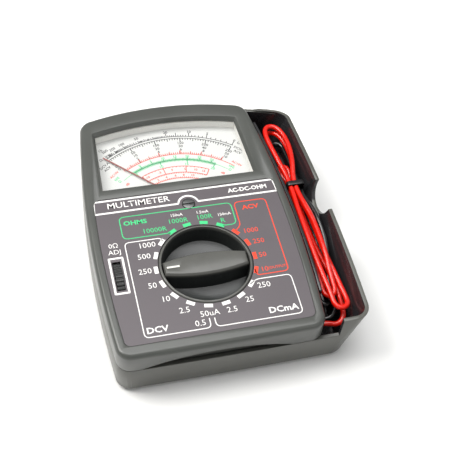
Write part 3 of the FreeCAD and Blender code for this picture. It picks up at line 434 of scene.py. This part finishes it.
# the pale colour is partly wear and partly a painted sheen of the light from above
worn_and_sheened = build(
    tree, "ShaderNodeMix", {"data_type": "RGBA"},
    {"Factor": uneven_wear_and_sheen, 6: plain_black, 7: rgb(88, 88, 84)}, out=2,
)
tree.links.new(worn_and_sheened.socket, shader.inputs["Base Color"])
print("rubbed above", WEAR_AND_SHEEN_LOW / MM, "mm")

# %% Clear mouldings
finish["clear_lens"] = clear("clear window", (0.95, 0.96, 0.96, 1), 0.05, 0.03)
finish["fuse_glass"] = clear("fuse glass", (0.8, 0.84, 0.84, 1), 0.5, 0.05)
print("finishes:", len(finish))

# %% Every engineered piece gets the finish of its slot
slot_of = {entry["node"]: entry["material_slot"] for entry in frame["record"]["subparts"]}
for name, obj in nodes.items():
    obj.data.materials.clear()
    obj.data.materials.append(finish["tray_grey" if name == "tray_shell" else slot_of[name]])

# %% [markdown]
# ## Moulded shells with soft edges
# A moulded case has no knife edge: every corner has a small radius, and it is what catches the
# light. The engineered shells are sharp, so each visible one is copied, its loose triangles are
# merged into clean faces, and a narrow bevel goes round its edges.

# %% Soft-edged copies
MERGE = 0.004 * MM  # corners nearer than this are one
FLAT = math.radians(0.4)  # faces that differ by less are one


def soften(name, body, width, finish_name, degrees=32.0, segments=2):
    """A copy of an engineered piece with soft edges, which stands for it."""
    bm = bmesh.new()
    bm.from_mesh(nodes[name].data)
    bmesh.ops.remove_doubles(bm, verts=bm.verts, dist=MERGE)
    bmesh.ops.dissolve_limit(bm, angle_limit=FLAT, verts=bm.verts, edges=bm.edges)
    mesh = bpy.data.meshes.new(f"{name}_soft")
    bm.to_mesh(mesh)
    bm.free()
    piece = add_piece(f"{name}_soft", mesh, None, material=finish[finish_name])
    if width:
        bevel = piece.modifiers.new("soft edge", "BEVEL")
        bevel.width = width * MM
        bevel.segments = segments
        bevel.limit_method = "ANGLE"
        bevel.angle_limit = math.radians(degrees)
        bevel.use_clamp_overlap = False
        graph = bpy.context.evaluated_depsgraph_get()
        done = bpy.data.meshes.new_from_object(piece.evaluated_get(graph))
        piece.modifiers.clear()
        piece.data = done
    smooth(piece.data, degrees)
    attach(piece, body)
    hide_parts(name)
    print(name, "->", len(piece.data.polygons), "faces")
    return piece


tray = soften("tray_shell", "tray", 0.25, "tray_grey")
# the second finish is painted shade for the tray's inner walls, floor and divider
tray.data.materials.append(finish["tray_inside_painted_shade"])

# %% The tray's inside gets a darker copy of its plastic, as painted shade in the bay
DIVIDER_LEFT, DIVIDER_RIGHT, DIVIDER_REACH = 36.0, 44.5, 57.0
TRAY_FLOOR, DIVIDER_FOOT = 5.0, 3.0  # no inner floor is higher, no divider lower
for face in tray.data.polygons:
    spot, way = face.center / MM, face.normal
    inward = way.x * spot.x + way.y * spot.y < 0 and abs(way.z) < 0.9
    on_floor = way.z > 0.5 and spot.z < TRAY_FLOOR
    beside = DIVIDER_LEFT < spot.x < DIVIDER_RIGHT and abs(spot.y) < DIVIDER_REACH
    if inward or on_floor or (beside and spot.z > DIVIDER_FOOT):
        # these faces take the painted shade
        face.material_index = 1
print("black faces in the tray:", sum(face.material_index for face in tray.data.polygons))

# %% The other soft copies
soften("front_shell", "meter", 0.2, "shell_grey")
soften("rear_shell", "meter", 0.2, "shell_grey")
soften("range_knob", "knob", 0.18, "knob_black")
soften("label_plate", "meter", 0.0, "label_print")
soften("movement_cover", "meter", 0.0, "cover_grey")
soften("adjust_wheel", "adjust_wheel", 0.0, "wheel_black", 50.0)
soften("zero_screw", "zero_screw", 0.12, "screw_steel")
soften("wire_tie", "tray", 0.12, "tie_black")
soften("lead_grommet", "meter", 0.3, "grommet_rubber")
tools = {
    colour: [
        soften(f"{colour}_probe", "tray", 0.0, f"probe_{colour}", 25.0),
        soften(f"{colour}_probe_pin", "tray", 0.0, "steel", 25.0),
    ]
    for colour in leads
}

# %% [markdown]
# ## The leads' finish
# A lead lies in the bay of the tray and leaves the meter at its outlet, and between the two it
# bends.
# Here each lead gets its finish, its mesh is baked where it lies, and the pieces it stands for are
# hidden.

# %% The leads' finish, and the pieces they stand for
for colour, route in (("red", RED_ROUTE), ("black", BLACK_ROUTE)):
    lead = leads[colour]
    lead.data.materials.clear()
    lead.data.materials.append(finish[f"lead_{colour}"])
    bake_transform(lead)
    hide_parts(f"{colour}_lead_hank", f"{colour}_lead_exit", f"{colour}_lead_end")

# %% [markdown]
# ## Printing on the label
# The label is silk-screened: a thin, slightly raised layer of ink. Words are text objects turned
# into meshes, outlines are flat ribbons with rounded corners, and the range marks, which repeat
# evenly round the knob, come from Geometry Nodes.

# %% Ink helpers
LABEL_TOP = 30.8
INK = 0.03  # how far ink stands above what it is printed on
CAPITALS = 0.73  # a capital's height in a font of size 1
CORNER_STEPS, NEARLY_HALF = 6, 0.49  # a rounded corner takes up to this part of a side


def words(text, x, y, height, z, turn=0.0, weight=0.0, wide=1.0):
    """Flat lettering centred on x, y, with capitals of a given height, in millimetres."""
    data = bpy.data.curves.new("words", "FONT")
    data.body = text
    data.size = height / CAPITALS
    data.resolution_u = 2
    data.offset = weight
    data.align_x, data.align_y = "CENTER", "CENTER"
    data.fill_mode = "FRONT"
    mesh = plain_mesh(data, "words")
    ys = [v.co.y for v in mesh.vertices]
    middle = (max(ys) + min(ys)) / 2
    turned = Matrix.Rotation(math.radians(turn), 4, "Z")
    for v in mesh.vertices:
        spot = turned @ Vector((v.co.x * wide, v.co.y - middle, 0))
        v.co = Vector((spot.x + x, spot.y + y, z)) * MM
    return mesh


def rounded(corners, radius, closed=False):
    """The points of a line whose inner corners are rounded to arcs."""
    spots = [Vector((x, y)) for x, y in corners]
    count = len(spots)
    path = [] if closed else [spots[0]]
    for i in range(count) if closed else range(1, count - 1):
        before, spot, after = spots[i - 1], spots[i], spots[(i + 1) % count]
        back, ahead = (before - spot).normalized(), (after - spot).normalized()
        reach = min(
            radius, NEARLY_HALF * (before - spot).length, NEARLY_HALF * (after - spot).length
        )
        first, last = spot + back * reach, spot + ahead * reach
        for step in range(CORNER_STEPS + 1):
            t = step / CORNER_STEPS
            path.append(first * (1 - t) ** 2 + spot * 2 * t * (1 - t) + last * t**2)
    return path if closed else path + [spots[-1]]


def ribbon(path, width, z, closed=False):
    """A flat band of ink along a line."""
    bm = bmesh.new()
    rows = []
    count = len(path)
    for i, spot in enumerate(path):
        before = path[i - 1] if closed or i else spot
        after = path[(i + 1) % count] if closed or i < count - 1 else spot
        along = (after - before).normalized()
        side = Vector((-along.y, along.x)) * width / 2
        rows.append([bm.verts.new((*((spot + side * s) * MM), z * MM)) for s in (1, -1)])
    for i in range(count if closed else count - 1):
        a, b = rows[i], rows[(i + 1) % count]
        bm.faces.new((a[0], a[1], b[1], b[0]))
    mesh = bpy.data.meshes.new("ribbon")
    bm.to_mesh(mesh)
    bm.free()
    return mesh


# %% Range marks and dial ticks by Geometry Nodes
def tick_tree(name, place):
    """A tree that lays flat bars on an arc. place gives a bar's angle from its number."""
    tree = bpy.data.node_groups.new(name, "GeometryNodeTree")
    sockets = {}
    for label, kind in (
        ("Count", "NodeSocketInt"), ("First", "NodeSocketFloat"), ("Step", "NodeSocketFloat"),
        ("Radius", "NodeSocketFloat"), ("Length", "NodeSocketFloat"), ("Width", "NodeSocketFloat"),
        ("Centre", "NodeSocketVector"), ("Ink", "NodeSocketMaterial"),
    ):
        socket = tree.interface.new_socket(label, in_out="INPUT", socket_type=kind)
        sockets[label] = socket.identifier
    tree.interface.new_socket("Geometry", in_out="OUTPUT", socket_type="NodeSocketGeometry")
    entry = tree.nodes.new("NodeGroupInput")
    asked = {label: Flow(tree, entry.outputs[label]) for label in sockets}
    number = build(tree, "GeometryNodeInputIndex", {}, {})
    angle = place(asked, number)
    points = build(tree, "GeometryNodePoints", {}, {"Count": asked["Count"]})
    sideways = angle.math("SINE", angle) * asked["Radius"]
    upwards = angle.math("COSINE", angle) * asked["Radius"]
    across = build(tree, "ShaderNodeCombineXYZ", {}, {0: sideways, 1: upwards})
    spot = build(
        tree, "ShaderNodeVectorMath", {"operation": "ADD"}, {0: across, 1: asked["Centre"]}
    )
    placed = build(tree, "GeometryNodeSetPosition", {}, {"Geometry": points, "Position": spot})
    bar = build(
        tree, "GeometryNodeMeshGrid", {},
        {"Size X": asked["Width"], "Size Y": asked["Length"], "Vertices X": 2, "Vertices Y": 2},
    )
    facing = build(tree, "ShaderNodeCombineXYZ", {}, {2: angle * -1.0})
    bars = build(
        tree, "GeometryNodeInstanceOnPoints", {},
        {"Points": placed, "Instance": bar, "Rotation": facing},
    )
    solid = build(tree, "GeometryNodeRealizeInstances", {}, {"Geometry": bars})
    inked = build(
        tree, "GeometryNodeSetMaterial", {}, {"Geometry": solid, "Material": asked["Ink"]}
    )
    leave = tree.nodes.new("NodeGroupOutput")
    tree.links.new(inked.socket, leave.inputs["Geometry"])
    return tree, sockets


def even(asked, number):
    return (asked["First"] + asked["Step"] * number) * (math.pi / 180)


DIAL = Vector((-10.45, 0.6))  # the middle of the printed arcs
SCALE_LEFT, SCALE_RIGHT = -34.8, 36.0
HALF_SCALE_OHMS = 20.0


def crowded(asked, number):
    """Ohms crowd towards the left: the needle moves by half/(half + ohms) of its sweep."""
    ohms = asked["First"] + asked["Step"] * number
    part = HALF_SCALE_OHMS / (ohms + HALF_SCALE_OHMS)
    return (part * (SCALE_RIGHT - SCALE_LEFT) + SCALE_LEFT) * (math.pi / 180)


even_tree = tick_tree("even ticks", even)
ohms_tree = tick_tree("ohms ticks", crowded)


def ticks(tree_and_sockets, ink, centre, z, count, first, step, radius, length, width):
    """Runs a tick tree with its sizes in millimetres and degrees, and returns a plain mesh."""
    tree, sockets = tree_and_sockets
    holder = bpy.data.objects.new("ticks", bpy.data.meshes.new("ticks"))
    bpy.context.scene.collection.objects.link(holder)
    modifier = holder.modifiers.new("ticks", "NODES")
    modifier.node_group = tree
    middle = (centre.x * MM, centre.y * MM, z * MM)
    for label, value in {
        "Count": count, "First": float(first), "Step": float(step), "Radius": radius * MM,
        "Length": length * MM, "Width": width * MM, "Centre": middle, "Ink": ink,
    }.items():
        modifier[sockets[label]] = value
    graph = bpy.context.evaluated_depsgraph_get()
    mesh = bpy.data.meshes.new_from_object(holder.evaluated_get(graph))
    holder.modifiers.clear()
    bpy.data.objects.remove(holder)
    return mesh


# %% Range marks on the label
KNOB = Vector((-8.95, -30.1))
MARK_STEP, MARK_RADIUS, MARK_LENGTH, MARK_WIDTH = 20, 23.75, 1.9, 4.0
ink_z = LABEL_TOP + INK
white, green, red = [], [], []
for store, ink, count, first in (
    (green, "green_ink", 4, -30), (red, "red_ink", 4, 50), (white, "white_ink", 10, 130),
):
    marks = ticks(
        even_tree, finish[ink], KNOB, ink_z, count, first,
        MARK_STEP, MARK_RADIUS, MARK_LENGTH, MARK_WIDTH,
    )
    store.append(marks)
    print(ink, "range marks:", len(marks.polygons))

# %% Words and outlines on the label
HAIR, BOLD = 0.02, 0.1  # how much a letter is fattened, in millimetres
THIN_LINE, THICK_LINE = 0.5, 1.0


def label_words(store, height, rows, weight=0.0, wide=1.0):
    """Adds lettering of one height: each row is a text and the x, y of its middle."""
    for text, x, y in rows:
        store.append(words(text, x, y, height, ink_z, weight=weight, wide=wide))


def label_line(store, corners, radius, width, closed=False):
    """Adds a line with rounded corners."""
    store.append(ribbon(rounded(corners, radius, closed), width, ink_z, closed))


label_words(white, 3.1, (
    ("1000", -34.3, -15.2), ("500", -36.8, -21.5), ("250", -37.9, -29.9), ("50", -36.0, -38.2),
    ("10", -31.5, -46.4), ("2.5", -24.3, -53.8), ("50uA", -13.4, -57.4), ("0.5", -18.7, -61.8),
    ("2.5", -2.9, -57.3), ("25", 6.3, -53.4), ("250", 14.8, -46.9),
))
label_words(white, 2.7, (("ADJ", -49.8, -17.1), ("0Ω", -49.9, -12.9)))
label_words(white, 1.7, (("150uA", -16.9, 0.1), ("1.5mA", -4.1, -0.1), ("150mA", 6.2, -3.2)), HAIR)
label_words(white, 3.2, (("DCmA", 20.3, -61.1), ("DCV", -38.3, -61.6)), BOLD, 1.1)
label_words(white, 3.6, (("MULTIMETER", -33.6, 10.8),), 0.03, 1.08)
label_words(white, 2.5, (("AC-DC-OHM", 21.5, 10.6),), 0.12)
label_line(
    white,
    [
        (-26.4, -14.4), (-27.4, -12.3), (-44.5, -12.3), (-44.5, -65.0), (-14.3, -65.0),
        (-14.3, -60.0),
    ],
    2.4, THIN_LINE,
)
label_line(
    white,
    [(8.6, -45.6), (12.0, -43.4), (28.7, -43.4), (28.7, -65.0), (-11.9, -65.0), (-11.9, -60.2)],
    2.4, THIN_LINE,
)
# the frame round the thumbwheel
label_line(
    white, [(-53.2, -20.3), (-46.9, -20.3), (-46.9, -40.0), (-53.2, -40.0)], 0.1, THICK_LINE, True
)
label_words(green, 2.6, (("OHMS", -37.3, -0.9),), BOLD, 1.15)
label_words(green, 2.8, (
    ("10000R", -29.0, -7.0), ("1000R", -16.9, -3.4), ("100R", -3.7, -3.2), ("R", 4.7, -6.8),
))
label_line(
    green,
    [(-21.8, -10.1), (-44.6, -10.1), (-44.6, 3.1), (10.9, 3.1), (10.9, -10.1), (4.2, -10.1)],
    2.6, 0.45,
)
label_words(red, 2.6, (("ACV", 20.0, -0.9),), BOLD, 1.15)
label_words(red, 2.8, (
    ("1000", 16.6, -15.1), ("250", 18.8, -21.9), ("50", 18.6, -30.1), ("10", 17.4, -38.4),
))
label_words(red, 1.5, (("(OUTPUT)", 23.9, -38.4),), HAIR)
label_line(
    red,
    [
        (9.4, -14.2), (12.5, -11.4), (12.5, 2.9), (28.6, 2.9), (28.6, -41.2), (13.0, -41.2),
        (12.9, -37.8),
    ],
    2.6, THIN_LINE,
)
print("label pieces:", len(white), len(green), len(red))

# %% The name strip: a white frame that swells round the zero screw
ZERO = Vector((-9.5, 5.9))
STRIP_LOW, STRIP_HIGH, BULGE, ARC_STEPS = 6.7, 15.1, 5.0, 24
dip = math.acos(min(1, (STRIP_LOW - ZERO.y) / BULGE))
arc = [
    ZERO + Vector((math.sin(a), math.cos(a))) * BULGE
    for a in [-dip + 2 * dip * i / ARC_STEPS for i in range(ARC_STEPS + 1)]
]
lower_edge = [Vector((-55.9, STRIP_LOW)), *arc, Vector((36.2, STRIP_LOW))]
upper_edge = [Vector((-55.0, STRIP_HIGH - 0.9)), Vector((35.3, STRIP_HIGH - 0.9))]
white.append(ribbon(lower_edge, THICK_LINE, ink_z))
white.append(ribbon(upper_edge, THICK_LINE, ink_z))
for x, lean in ((-55.7, 0.6), (36.0, -0.6)):
    end = [Vector((x, STRIP_LOW)), Vector((x + lean, STRIP_HIGH - 1.0))]
    white.append(ribbon(end, THICK_LINE, ink_z))


def print_pieces(kinds):
    """Joins each ink's meshes as one piece on the meter."""
    for name, store, ink in kinds:
        piece = add_piece(name, joined(store, name), "meter", finish[ink])
        print(name, len(piece.data.polygons), "faces")


print_pieces(
    (
        ("white_print", white, "white_ink"), ("green_print", green, "green_ink"),
        ("red_print", red, "red_ink"),
    ),
)

# %% [markdown]
# ## Printing on the dial
# The card behind the needle carries arcs about one centre. The ohms arc and the volts arc run
# close together with ticks on opposite sides. Below are a red alternating-volts arc, a green
# arc crowded with ticks, and two red arcs joined by spokes.

# %% Dial helpers
DIAL_TOP = 23.0
dial_z = DIAL_TOP + INK
sweep = SCALE_RIGHT - SCALE_LEFT
BLACK_INK = "dial_black_ink"
LINE, FIRM_LINE = 0.42, 0.44


def at(angle, radius):
    """A point on the dial: degrees clockwise from straight up, and millimetres out."""
    turn = math.radians(angle)
    return DIAL + Vector((math.sin(turn), math.cos(turn))) * radius


def dial_arc(radius, first, last, width=LINE, steps=60):
    spots = [at(first + (last - first) * i / steps, radius) for i in range(steps + 1)]
    return ribbon(spots, width, dial_z)


def dial_ticks(ink, count, first, step, inner, length, width):
    """Even ticks: first and step in degrees, inner is the radius where they start."""
    return ticks(
        even_tree, finish[ink], DIAL, dial_z, count, first, step, inner + length / 2, length, width
    )


def dial_words(store, height, rows):
    """Adds lettering of one height: each row is a text, its angle and its radius."""
    for text, angle, radius in rows:
        spot = at(angle, radius)
        store.append(
            words(text, spot.x, spot.y, height * 1.15, dial_z, turn=-angle, weight=0.05)
        )


# %% Black: ohms above its pair of arcs, volts below
OHMS_R, VOLTS_R = 57.3, 56.0
black = [
    dial_arc(OHMS_R, SCALE_LEFT - 0.6, SCALE_RIGHT + 0.6),
    dial_arc(VOLTS_R, SCALE_LEFT, SCALE_RIGHT),
]
for first, step, count, length in (
    (0, 1, 10, 1.2), (0, 5, 5, 2.6), (10, 1, 20, 1.1), (20, 2, 15, 1.1), (30, 5, 14, 1.2),
    (20, 10, 9, 1.6), (100, 10, 10, 1.3), (200, 50, 7, 1.3), (100, 100, 6, 2.0),
    (1000, 1000, 2, 2.2),
):
    middle = OHMS_R + length / 2
    black.append(
        ticks(ohms_tree, finish[BLACK_INK], DIAL, dial_z, count, first, step, middle, length, 0.4)
    )
for ohms, text, out in (
    (0, "0", 3.4), (5, "5", 3.4), (10, "10", 3.4), (20, "20", 3.4), (50, "50", 3.4),
    (100, "100", 3.4), (200, "200", 3.4), (500, "500", 4.6), (1000, "1k", 6.6),
):
    angle = SCALE_LEFT + sweep * HALF_SCALE_OHMS / (HALF_SCALE_OHMS + ohms)
    dial_words(black, 1.5, [(text, angle, OHMS_R + out)])
for parts, length, width in ((50, 1.2, 0.4), (10, 1.9, 0.44), (5, 2.5, 0.5)):
    step, inner = sweep / parts, VOLTS_R - length
    black.append(dial_ticks(BLACK_INK, parts + 1, SCALE_LEFT, step, inner, length, width))
for i in range(6):
    angle = SCALE_LEFT + sweep * i / 5
    dial_words(
        black, 1.5,
        [(str(50 * i), angle, 52.7), (str(10 * i), angle, 50.4), (str(2 * i), angle, 48.1)],
    )
dial_words(black, 1.35, (
    ("DCV.A", 40.6, 56.6), ("ACV", 40.8, 54.2), ("Ω", 38.6, 60.4), ("Ω", -37.4, 59.0),
    ("DCV.A", -39.0, 55.0), ("ACV", -39.4, 52.6),
))
print("black dial meshes:", len(black))

# %% Red: the low alternating volts, and a ladder of two arcs
AC_R, LADDER_LEFT = 44.9, -27.3
dial_red = [
    dial_arc(AC_R, SCALE_LEFT + 3, 44.6, FIRM_LINE), dial_arc(36.6, -27.4, 29.4),
    dial_arc(32.5, -27.4, 29.6), dial_arc(28.7, -23, 22),
]
for parts, length, width in ((50, 1.3, 0.42), (10, 1.9, 0.46), (5, 2.6, 0.5)):
    step = sweep / parts
    dial_red.append(
        dial_ticks("red_ink", parts, SCALE_LEFT + step, step * 0.975, AC_R, length, width)
    )
dial_red += [
    dial_ticks("red_ink", 4, LADDER_LEFT, 18.9, 32.5, 4.1, 0.46),
    dial_ticks("red_ink", 20, LADDER_LEFT, 2.98, 36.0, 0.7, 0.4),
    dial_ticks("red_ink", 36, LADDER_LEFT, 1.6, 31.8, 0.8, 0.4),
    dial_ticks("red_ink", 24, -22.6, 1.95, 28.7, 0.8, 0.4),
]
dial_words(dial_red, 1.25, (
    ("AC10V", 44.8, 47.0), ("AC10V", -40.2, 47.4), ("dB", -41.0, 38.2), ("dB", 41.0, 37.4),
))
dial_words(dial_red, 1.2, (
    ("-10", -24.6, 34.6), ("-5", -12.5, 34.6), ("0", -1.5, 34.6), ("5", 9.5, 34.6),
    ("10", 18.6, 34.6), ("15", 25.5, 34.6), ("2", -17.6, 30.6), ("4", -9.0, 30.6),
    ("6", 0.0, 30.6), ("8", 8.0, 30.6), ("10", 16.5, 30.6),
))
print("red dial meshes:", len(dial_red))

# %% Green: one broad arc crowded with ticks
GREEN_R = 41.1
dial_green = [
    dial_arc(GREEN_R, -31.5, 33.0, 0.8), dial_arc(GREEN_R, 33.0, 42.0, 0.3),
    dial_arc(GREEN_R, -40.0, -31.5, 0.3),
    dial_ticks("green_ink", 64, -31.0, 1.0, GREEN_R - 1.1, 2.2, 0.42),
    dial_ticks("green_ink", 8, -31.3, 8.6, GREEN_R, 1.9, 0.5),
    dial_ticks("green_ink", 4, -29.0, 20.3, GREEN_R - 2.6, 2.6, 0.5),
]
dial_words(dial_green, 1.4, [(str(5 * i), -22.9 + 8.6 * i, 43.3) for i in range(7)])
dial_words(dial_green, 1.4, (
    ("1", -29.2, 37.9), ("10", -9.1, 37.9), ("15", 11.0, 37.9), ("20", 32.0, 37.9),
))
dial_words(dial_green, 1.3, (
    ("hFE", -41.8, 44.6), ("Ω", -42.4, 42.4), ("hFE", 43.4, 43.6), ("Ω", 43.8, 41.4),
))
print_pieces(
    (
        ("dial_black_print", black, BLACK_INK), ("dial_red_print", dial_red, "red_ink"),
        ("dial_green_print", dial_green, "green_ink"),
    ),
)

# %% [markdown]
# ## Floor and light
# A pale floor under soft light: one big lamp high at the left lights the left walls and makes the
# soft shadow to the right, one overhead lights the faces, a weak one at the front right fills,
# and the world is white. The plain colour transform keeps the floor as pale as real paper.

# %% Floor
floor_mesh = bpy.data.meshes.new("floor")
bm = bmesh.new()
bmesh.ops.create_grid(bm, x_segments=1, y_segments=1, size=3.0)
bm.to_mesh(floor_mesh)
bm.free()
floor_finish, tree, shader, place = new_finish("pale floor")
cloud = noise(tree, place, 3.0)
paper = build(
    tree, "ShaderNodeMix", {"data_type": "RGBA"},
    {"Factor": cloud, 6: (0.9, 0.9, 0.89, 1), 7: (0.93, 0.93, 0.92, 1)}, out=2,
)
tree.links.new(paper.socket, shader.inputs["Base Color"])
shader.inputs["Roughness"].default_value = 0.9
shader.inputs["Specular IOR Level"].default_value = 0.1
floor = add_piece("floor", floor_mesh, None, material=floor_finish)

# %% Lights


def lamp(name, place, target, size, power, colour=(1, 1, 1)):
    data = bpy.data.lights.new(name, "AREA")
    data.shape = "DISK"
    data.size = size
    data.energy = power
    data.color = colour
    obj = bpy.data.objects.new(name, data)
    bpy.context.scene.collection.objects.link(obj)
    way = Vector(target) - Vector(place)
    obj.matrix_world = Matrix.Translation(place) @ way.to_track_quat("-Z", "Y").to_matrix().to_4x4()


lamp("key", (-0.66, 0.3, 1.0), (0, 0, 0), 0.7, 12.5, (1.0, 0.985, 0.955))
lamp("top", (0.05, 0.2, 1.2), (0, 0, 0), 0.9, 9.0)
lamp("fill", (0.5, -0.8, 0.8), (0, 0, 0), 0.9, 0.7)
world = bpy.data.worlds.new("studio")
world.use_nodes = True
sky = world.node_tree.nodes["Background"]
sky.inputs["Color"].default_value = (1, 1, 1, 1)
sky.inputs["Strength"].default_value = 0.4
bpy.context.scene.view_settings.view_transform = "Standard"
bpy.context.scene.world = world

bpy.context.view_layer.update()
